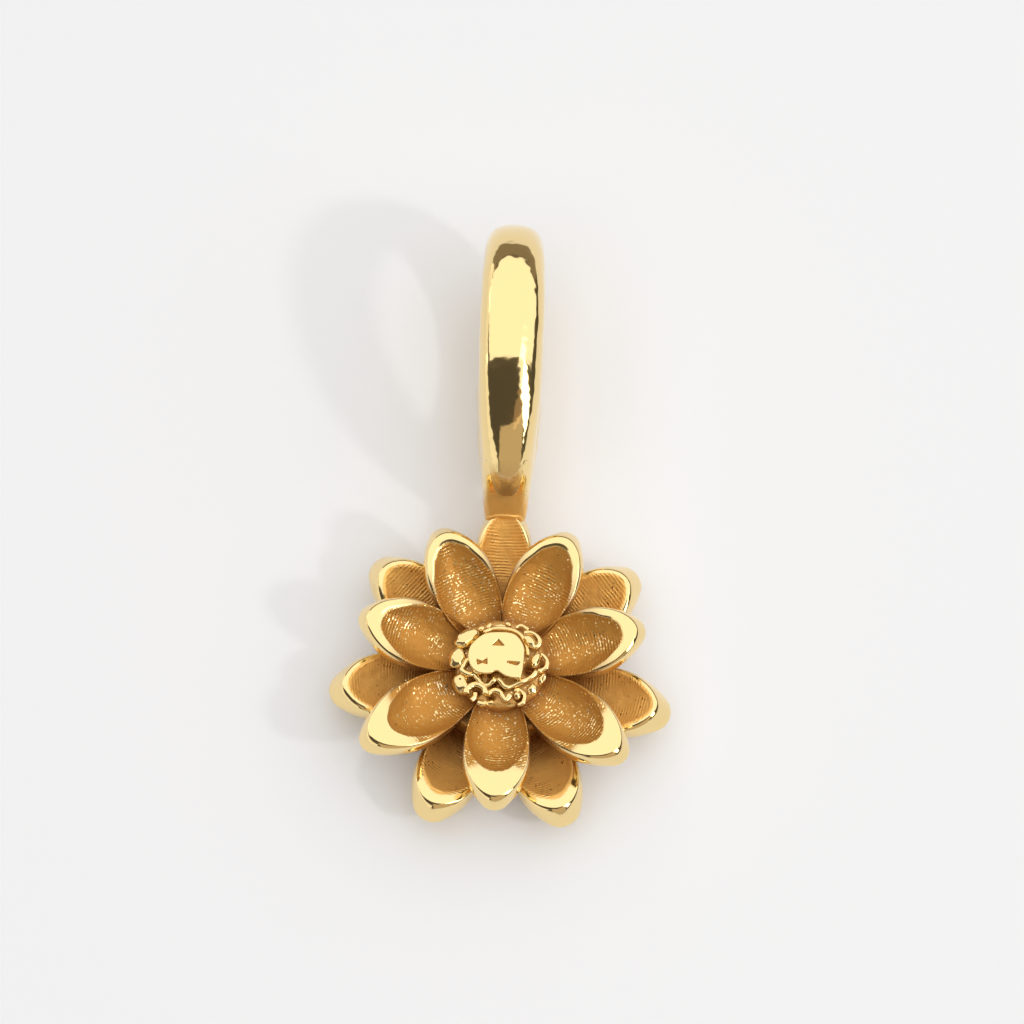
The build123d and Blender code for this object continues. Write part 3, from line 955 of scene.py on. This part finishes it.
class CHARM_OT_seed_head(bpy.types.Operator):
    """Models the core, the drum, the beads and curls round the cap, and the polished cap."""

    bl_idname = "charm.seed_head"
    bl_label = "Seed head"

    def execute(self, context):
        sizes = context.scene.charm_head
        gold = context.scene.charm_gold
        gold = gold_material("cast_gold", gold, gold.satin_colour, gold.glint_start)
        bm = bmesh.new()
        bm.verts.layers.float.new("satin")
        corners = (
            (0.0, 0.0),
            (sizes.core_radius, 0.0),
            (sizes.core_radius, DRUM_FOOT),
            (sizes.drum_radius, DRUM_FOOT),
            (sizes.drum_radius, sizes.drum_top),
            (0.0, sizes.drum_top),
        )
        profile = rounded_profile(corners, DRUM_EASE)
        inwards = [(profile[-2][0] * (1 - i / DRUM_RINGS), sizes.drum_top) for i in range(1, DRUM_RINGS)]
        spun(bm, profile[:-1] + inwards + [profile[-1]], DRUM_STEPS)
        for vert in bm.verts:
            x, y, z = vert.co / MM
            if z > PITTED_FROM:
                pits = (exp(-((x - px) ** 2 + (y - py) ** 2) / (PIT_SPREAD * r**2)) for px, py, r in PITS)
                vert.co.z -= PIT_DEPTH * min(sum(pits), 1.0)
            vert.co += Vector((x, y, 0.0)) * DRUM_UNEVENNESS * noise.noise(Vector((x, y, z)) * DRUM_WAVES)
        set_satin(bm, DRUM_SATIN)
        finish_piece("drum", bm, gold)

        bm = bmesh.new()
        bm.verts.layers.float.new("satin")
        for seed, bead in enumerate(BEADS):
            add_bead(bm, bead, seed)
        for seed, curl in enumerate(CURLS):
            add_curl(bm, curl, seed)
        finish_piece("granules", bm, gold)

        top = sizes.cap_top / MM
        cap = laid_grid(*CAP_GRID, lambda around, along: Vector(cap_point(top, around, along)) * MM, 0.0)
        satin = cap.verts.layers.float["satin"]
        for vert in cap.verts:
            if vert.co.z > (top - MARKED_WITHIN) * MM:
                vert[satin] = min(MARK_SATIN * mark_depth(vert.co.x / MM, vert.co.y / MM) / MARK_DEPTH, 1.0)
        finish_piece("cap", cap, gold)
        return {"FINISHED"}


class BailSettings(bpy.types.PropertyGroup):
    """Sizes of the bail and its neck."""

    height: bpy.props.FloatProperty(
        name="Centreline height",
        description="From the bottom of the bail's centreline to its top",
        unit="LENGTH", default=6.87 * MM,
    )
    depth: bpy.props.FloatProperty(
        name="Centreline depth",
        description="From the back of the bail's centreline to its front",
        unit="LENGTH", default=4.1 * MM,
    )
    width: bpy.props.FloatProperty(
        name="Band width",
        description="Width of the bail's band, along the chain",
        unit="LENGTH", default=1.93 * MM,
    )
    joint_width: bpy.props.FloatProperty(
        name="Band width at the neck",
        description="Width of the bail's band where it meets the neck",
        unit="LENGTH", default=1.4 * MM,
    )
    thickness: bpy.props.FloatProperty(
        name="Band thickness",
        description="Thickness of the bail's band",
        unit="LENGTH", default=1.3 * MM,
    )
    joint_thickness: bpy.props.FloatProperty(
        name="Band thickness at the neck",
        description="Thickness of the bail's band where it meets the neck",
        unit="LENGTH", default=1.7 * MM,
    )


# How much further the loop bulges towards its far end, as a share, and how far its bottom sinks
BAIL_FULLNESS = 0.1
BAIL_DROOP = 0.6 * MM
# How much of the band's thickness is in its round outer side; the rest is in the flatter inner side
OUTER_SHARE = 0.66
BAIL_SQUARENESS = 2.5
# How much narrower the band is at the far end of the loop, as a share
FAR_TAPER = 0.1
# How far the polished skin waves and ripples from the hand finish, and the waves a millimetre of each
WAVE, WAVES = 0.02 * MM, 1.1
RIPPLE, RIPPLES = 0.005 * MM, 6.0
BAIL_GRID = (120, 400)
NECK_START = 4.676 * MM
NECK_LENGTH = 1.2 * MM
# The step in degrees to either side of a place that gives the band's direction there
BAIL_TURN_STEP = 0.5
# Below this place along +Y the bail turns satin like the neck, over the given run and up to the given share
JOINT_SATIN_TOP = 5.85 * MM
JOINT_SATIN_RUN = 0.6 * MM
JOINT_SATIN = 0.6


class BailForm:
    """The bail's centreline and sections by the turn in degrees from its bottom, first up the front limb."""

    def __init__(self, sizes):
        self.sizes = sizes
        self.floor = min(self.egg(t)[1] - self.thickness(t) / 2 for t in range(180, 360))

    def thickness(self, turn):
        near = max(cos(radians(turn)), 0.0) ** 2
        return self.sizes.thickness + (self.sizes.joint_thickness - self.sizes.thickness) * near

    def width(self, turn):
        near = max(cos(radians(turn)), 0.0)
        return self.sizes.joint_width + (self.sizes.width - self.sizes.joint_width) * sqrt(1 - near**2)

    def egg(self, turn):
        climb = -cos(radians(turn))
        y = NECK_START + NECK_LENGTH + self.sizes.height * (1 + climb) / 2
        z = self.sizes.depth / 2 * sin(radians(turn)) * (1 + BAIL_FULLNESS * climb)
        return y, z - BAIL_DROOP * ((1 - climb) / 2) ** 2

    def point(self, turn, spin):
        """A point of the skin: spin 0 is at +X, a quarter turn is at the outside of the loop."""
        y, z = self.egg(turn)
        ahead, behind = self.egg(turn + BAIL_TURN_STEP), self.egg(turn - BAIL_TURN_STEP)
        along = Vector((0.0, ahead[0] - behind[0], ahead[1] - behind[1])).normalized()
        out = Vector((1.0, 0.0, 0.0)).cross(along)
        middle = Vector((0.0, y, z - self.floor))
        far = max(-cos(radians(turn)), 0.0)
        wide = self.width(turn) / 2 * (1 - FAR_TAPER * far**3)
        thick = self.thickness(turn)
        square = squared(spin, BAIL_SQUARENESS)
        rise = (OUTER_SHARE if sin(spin) > 0 else 1 - OUTER_SHARE) * sin(spin) * square
        side = Vector((wide * cos(spin) * square, 0.0, 0.0))
        place = middle + side + out * (thick * (0.5 - OUTER_SHARE + rise))
        wave = noise.noise(place / MM * WAVES) * WAVE + noise.noise(place / MM * RIPPLES) * RIPPLE
        return place + (side + out * thick * rise).normalized() * wave


NECK_WIDTH = 1.36 * MM
NECK_DEPTH = 1.5 * MM
NECK_LEVEL = 1.06 * MM
NECK_EASE = 0.06 * MM
NECK_WOBBLE, NECK_WAVES = 0.06 * MM, 3.0
NECK_SQUARENESS = 3.0
NECK_GRID = (96, 80)
# Where along the neck's skin its flat end face and the rounding of its ledge end
FACE_END, LEDGE_END = 0.08, 0.25
# How satin the neck's foot is, and where along the neck that ends and over which run before it fades, as
# shares of the neck's length
NECK_SATIN = 0.9
NECK_SATIN_END, NECK_SATIN_RUN = 0.55, 0.3

# The neck's sections from the petal to the middle of the bail's bottom. Along is a share of the neck's
# length, climb one of the height from the petal's axis to the bail's bottom, width and depth ones of
# NECK_WIDTH and NECK_DEPTH.
NeckStation = namedtuple("NeckStation", "along climb width depth")
NECK_STATIONS = (
    NeckStation(along=0.0, climb=0.01, width=0.86, depth=1.0),
    NeckStation(along=0.5, climb=0.83, width=1.03, depth=1.4),
    NeckStation(along=1.0, climb=1.35, width=1.17, depth=1.57),
)


def neck_station(share):
    """The neck's section between the stations, on the parabola through them."""
    weights = ((1 - share) * (1 - 2 * share), 4 * share * (1 - share), share * (2 * share - 1))
    return NeckStation(*(sum(w * s[i] for w, s in zip(weights, NECK_STATIONS)) for i in range(4)))


def make_neck(form):
    """The short neck that climbs from the petal into the bail's front limb, with a ledge at its foot."""
    climb = form.egg(0)[1] - form.floor - NECK_LEVEL

    def point(around, along):
        spin = 2 * pi * around
        shrink = ramp(along, FACE_END)
        turn = ramp(along - FACE_END, LEDGE_END - FACE_END) * pi / 2
        inset = NECK_EASE * (1 - sin(turn))
        station = neck_station(max(along - LEDGE_END, 0.0) / (1 - LEDGE_END))
        square = squared(spin, NECK_SQUARENESS)
        x = (station.width * NECK_WIDTH / 2 - inset) * shrink * cos(spin) * square
        z = (station.depth * NECK_DEPTH / 2 - inset) * shrink * sin(spin) * square
        y = NECK_START + NECK_EASE * (1 - cos(turn)) + station.along * (NECK_LENGTH - NECK_EASE)
        wobble = noise.noise(Vector((x, y, z)) / MM * NECK_WAVES) * NECK_WOBBLE
        return Vector((x, y + wobble, NECK_LEVEL + station.climb * climb + z + wobble))

    neck = laid_grid(*NECK_GRID, point, 0.0)
    satin = neck.verts.layers.float["satin"]
    satin_end = NECK_START + NECK_SATIN_END * NECK_LENGTH
    for vert in neck.verts:
        vert[satin] = NECK_SATIN * ramp(satin_end - vert.co.y, NECK_SATIN_RUN * NECK_LENGTH)
    return neck


class CHARM_OT_bail(bpy.types.Operator):
    """Models the oval bail and the neck that carries it."""

    bl_idname = "charm.bail"
    bl_label = "Bail"

    def execute(self, context):
        form = BailForm(context.scene.charm_bail)
        bm = laid_grid(*BAIL_GRID, lambda around, along: form.point(360 * along, 2 * pi * around), 0.0)
        satin = bm.verts.layers.float["satin"]
        for vert in bm.verts:
            vert[satin] = JOINT_SATIN * ramp(JOINT_SATIN_TOP - vert.co.y, JOINT_SATIN_RUN)
        gold = context.scene.charm_gold
        # The neck takes the lighter satin copy too, which paints light on it
        neck_gold = gold_material("cast_gold_painted_light", gold, gold.painted_light_satin_colour, gold.low_glint_start)
        finish_piece("neck", make_neck(form), neck_gold)
        finish_piece("bail", bm, gold_material("cast_gold", gold, gold.satin_colour, gold.glint_start))
        return {"FINISHED"}


class StageSettings(bpy.types.PropertyGroup):
    """The floor, the lights and the camera."""

    tilt: bpy.props.FloatProperty(
        name="Camera tilt",
        description="How far the camera stands from straight above, on the flower's side",
        subtype="ANGLE", default=radians(16.0),
    )
    roll: bpy.props.FloatProperty(
        name="Camera roll",
        description="How far the charm's top leans to the right in the picture",
        subtype="ANGLE", default=radians(2.0),
    )
    frame_width: bpy.props.FloatProperty(
        name="Frame width",
        description="How much of the table the picture is wide",
        unit="LENGTH", default=30.72 * MM,
    )
    distance: bpy.props.FloatProperty(
        name="Camera distance",
        description="From the camera to the table",
        unit="LENGTH", default=0.5,
    )
    key_power: bpy.props.FloatProperty(
        name="Key power",
        description="Power of the small key light at the lower right, in watts",
        default=0.78,
    )
    table_glow: bpy.props.FloatProperty(
        name="Table glow",
        description="How much the table shines by itself, as an overexposed background does",
        default=0.12,
    )
    fill_power: bpy.props.FloatProperty(
        name="Fill power",
        description="Power of the wide light overhead that only the table shows, in watts",
        default=41.0,
    )
    room: bpy.props.FloatProperty(
        name="Room light",
        description="Brightness of the room around the stage",
        default=0.09,
    )
    floor_colour: bpy.props.FloatVectorProperty(
        name="Floor colour",
        description="Colour of the table",
        subtype="COLOR",
        size=3, min=0.0, max=1.0,
        default=(0.86, 0.86, 0.87),
    )


def aim(location, target, up):
    """A placement at location that looks at target, with up to the top."""
    back = (location - target).normalized()
    right = up.cross(back).normalized()
    top = back.cross(right)
    turn = Matrix((right, top, back)).transposed().to_4x4()
    return Matrix.Translation(location) @ turn


def area_light(name, location, target, width, height, power, shape="RECTANGLE"):
    """An area light that faces its target."""
    light = bpy.data.lights.new(name, "AREA")
    light.shape = shape
    light.size = width
    light.size_y = height
    light.energy = power
    lamp = bpy.data.objects.new(name, light)
    lamp.matrix_world = aim(Vector(location), Vector(target), Vector((0.0, 0.0, 1.0)))
    bpy.context.scene.collection.objects.link(lamp)
    return lamp


# Cards that only the metal shows: bearing clockwise from +Y and elevation of the middle, width and height,
# all in degrees as seen from the charm, brightness and colour
Card = namedtuple("Card", "name bearing elevation width height glow colour")
WHITE = (1.0, 1.0, 1.0)
TAN = (1.0, 0.82, 0.62)
AMBER = (1.0, 0.66, 0.42)
CARDS = (
    Card(name="softbox", bearing=0, elevation=63.5, width=136, height=73, glow=1.2, colour=WHITE),
    Card(name="left_card", bearing=237, elevation=9, width=68, height=18, glow=0.95, colour=WHITE),
    Card(name="far_left_card", bearing=293, elevation=9, width=46, height=18, glow=0.9, colour=WHITE),
    Card(name="back_card", bearing=0, elevation=12, width=104, height=23, glow=0.17, colour=TAN),
    Card(name="corner_card", bearing=112, elevation=61, width=24, height=14, glow=1.2, colour=WHITE),
    Card(name="front_card", bearing=166, elevation=25, width=60, height=48, glow=0.49, colour=TAN),
    Card(name="amber_card", bearing=148, elevation=51, width=26, height=20, glow=0.24, colour=AMBER),
    Card(name="right_strip", bearing=119, elevation=35, width=19, height=46, glow=3.8, colour=WHITE),
)
CARD_DISTANCE = 0.9
# The lights that the table and the satin show and no reflection does: a small round key at the lower right,
# and a wide fill whose middle lies off to one side
KEY_PLACE, KEY_TARGET, KEY_SIZE = (0.57, -0.23, 0.5), (0.0, 0.005, 0.0), 0.07
FILL_PLACE, FILL_TARGET, FILL_SIZE = (0.8, 0.8, 1.0), (0.8, 0.799, 0.0), 3.5
TABLE_HALF = 1.5
TABLE_ROUGHNESS = 0.7
TABLE_GLOW_COLOUR = (1.0, 1.0, 1.01)
ROOM_COLOUR = (1.0, 0.9, 0.78)
# The place on the table in the middle of the picture
PICTURE_MIDDLE = Vector((0.1958 * MM, 5.347 * MM, 0.0))
SENSOR = 36.0
CLIP_START, CLIP_END = 0.01, 10.0


def card(spec):
    """An area light that stands in for a card, seen in the metal alone."""
    bearing, elevation = radians(spec.bearing), radians(spec.elevation)
    toward = Vector((sin(bearing) * cos(elevation), cos(bearing) * cos(elevation), sin(elevation)))
    width = 2 * CARD_DISTANCE * tan(radians(spec.width) / 2)
    height = 2 * CARD_DISTANCE * tan(radians(spec.height) / 2)
    power = spec.glow * pi * width * height
    lamp = area_light(spec.name, toward * CARD_DISTANCE, (0.0, 0.0, 0.0), width, height, power)
    lamp.data.color = spec.colour
    lamp.visible_diffuse = False
    return lamp


class CHARM_OT_stage(bpy.types.Operator):
    """Sets up the pale table, the soft lights and the camera."""

    bl_idname = "charm.stage"
    bl_label = "Stage"

    def execute(self, context):
        scene = context.scene
        stage = scene.charm_stage
        bm = bmesh.new()
        bmesh.ops.create_grid(bm, x_segments=2, y_segments=2, size=TABLE_HALF)
        mesh = bpy.data.meshes.new("table")
        bm.to_mesh(mesh)
        bm.free()
        table = bpy.data.objects.new("table", mesh)
        scene.collection.objects.link(table)
        material = bpy.data.materials.new("table_white")
        material.use_nodes = True
        shader = material.node_tree.nodes["Principled BSDF"]
        shader.inputs["Base Color"].default_value = (*stage.floor_colour, 1.0)
        shader.inputs["Roughness"].default_value = TABLE_ROUGHNESS
        shader.inputs["Specular IOR Level"].default_value = 0.0
        shader.inputs["Emission Color"].default_value = (*TABLE_GLOW_COLOUR, 1.0)
        shader.inputs["Emission Strength"].default_value = stage.table_glow
        mesh.materials.append(material)

        roll_cos, roll_sin = cos(stage.roll), sin(stage.roll)
        right = Vector((roll_cos, roll_sin * cos(stage.tilt), roll_sin * sin(stage.tilt)))
        top = Vector((-roll_sin, roll_cos * cos(stage.tilt), roll_cos * sin(stage.tilt)))
        back = right.cross(top)
        camera = bpy.data.cameras.new("camera")
        camera.sensor_width = SENSOR
        camera.lens = SENSOR * stage.distance / stage.frame_width
        camera.clip_start = CLIP_START
        camera.clip_end = CLIP_END
        eye = bpy.data.objects.new("camera", camera)
        turn = Matrix((right, top, back)).transposed().to_4x4()
        eye.matrix_world = Matrix.Translation(PICTURE_MIDDLE + back * stage.distance) @ turn
        scene.collection.objects.link(eye)
        scene.camera = eye

        for spec in CARDS:
            card(spec)
        key = area_light("key", KEY_PLACE, KEY_TARGET, KEY_SIZE, KEY_SIZE, stage.key_power, "DISK")
        key.visible_glossy = False
        fill = area_light("fill", FILL_PLACE, FILL_TARGET, FILL_SIZE, FILL_SIZE, stage.fill_power)
        fill.visible_glossy = False
        world = bpy.data.worlds.new("room")
        world.use_nodes = True
        background = world.node_tree.nodes["Background"]
        background.inputs["Color"].default_value = (*ROOM_COLOUR, 1.0)
        background.inputs["Strength"].default_value = stage.room
        scene.world = world
        scene.view_settings.view_transform = "Standard"
        scene.view_settings.look = "None"
        return {"FINISHED"}


class CHARM_PT_panel(bpy.types.Panel):
    """Lists the steps that build the charm."""

    bl_idname = "CHARM_PT_panel"
    bl_label = "Flower charm"
    bl_space_type = "VIEW_3D"
    bl_region_type = "UI"
    bl_category = "Flower charm"

    def draw(self, context):
        for step in STEPS:
            self.layout.operator(f"charm.{step}")


STEPS = ("stage", "lower_petals", "upper_petals", "seed_head", "bail")
GROUPS = {
    "charm_gold": GoldSettings,
    "charm_petals": PetalSettings,
    "charm_head": SeedHeadSettings,
    "charm_bail": BailSettings,
    "charm_stage": StageSettings,
}
CLASSES = (
    *GROUPS.values(),
    CHARM_OT_stage,
    CHARM_OT_lower_petals,
    CHARM_OT_upper_petals,
    CHARM_OT_seed_head,
    CHARM_OT_bail,
    CHARM_PT_panel,
)


def register():
    """Adds the charm's settings, steps and panel."""
    for cls in CLASSES:
        bpy.utils.register_class(cls)
    for name, group in GROUPS.items():
        setattr(bpy.types.Scene, name, bpy.props.PointerProperty(type=group))


def unregister():
    """Takes the charm's settings, steps and panel out again."""
    for name in GROUPS:
        delattr(bpy.types.Scene, name)
    for cls in reversed(CLASSES):
        bpy.utils.unregister_class(cls)


def main():
    """Builds the charm and its stage."""
    register()
    for step in STEPS:
        getattr(bpy.ops.charm, step)()


if __name__ == "__main__":
    main()
